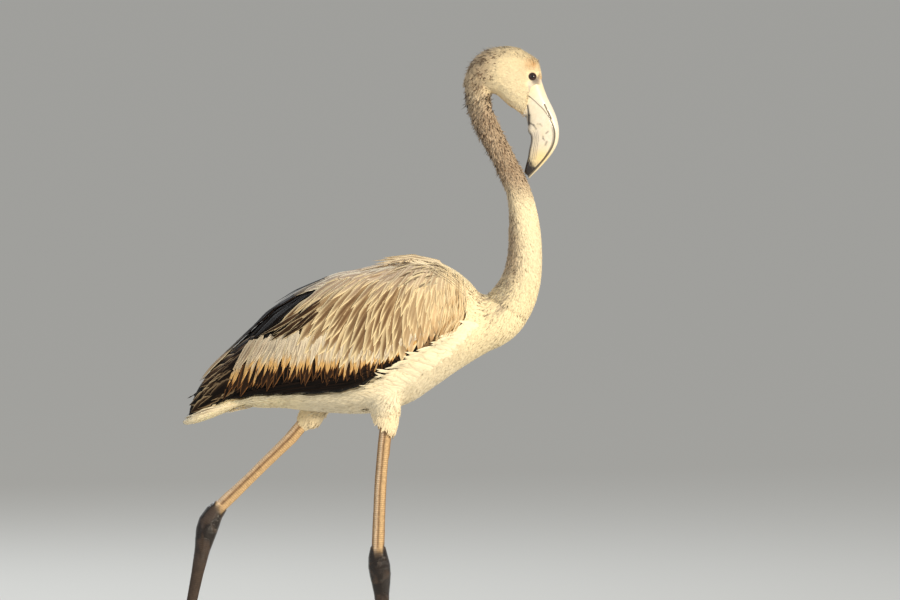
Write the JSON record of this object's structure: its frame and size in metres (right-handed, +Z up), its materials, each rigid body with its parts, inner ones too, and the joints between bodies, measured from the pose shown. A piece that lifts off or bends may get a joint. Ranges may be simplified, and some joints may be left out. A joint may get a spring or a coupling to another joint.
{
  "type": "greater flamingo, young bird, life-size still model",
  "caption": "Life-size still model of a young greater flamingo walking, neck raised and curved, bill lowered, one webbed foot planted and the other trailing on its toes.",
  "frame": {"origin": "on the floor, midway along the bird's length and width", "axes": "+X the way the bird faces, +Y the bird's left, +Z up"},
  "size_m": [0.5088, 0.1764, 0.9091],
  "materials": {
    "pale_feather": "soft cream-white feathers",
    "tan_feather": "tan feathers with dark brown centres and pale edges",
    "dark_feather": "black-brown flight feathers",
    "bill_horn": "pale grey-pink horn, black-brown at the tip",
    "eye": "wet dark brown",
    "leg_skin": "scaly brown skin, darker at ankles and feet"
  },
  "bodies": {
    "root": {"head": "pale_feather", "bill_upper": "bill_horn", "bill_lower": "bill_horn", "eye_right": "eye", "eye_left": "eye", "neck_upper": "tan_feather", "neck_middle": "pale_feather", "neck_lower": "pale_feather", "trunk": "pale_feather", "wing_right": "tan_feather", "wing_left": "tan_feather", "flight_feathers_right": "dark_feather", "flight_feathers_left": "dark_feather", "tail": "pale_feather", "thigh_right": "pale_feather", "thigh_left": "pale_feather", "shank_right": "leg_skin", "shank_left": "leg_skin", "ankle_right": "leg_skin", "ankle_left": "leg_skin", "tarsus_right": "leg_skin", "tarsus_left": "leg_skin", "foot_right": "leg_skin", "foot_left": "leg_skin"}
  },
  "joints": []
}
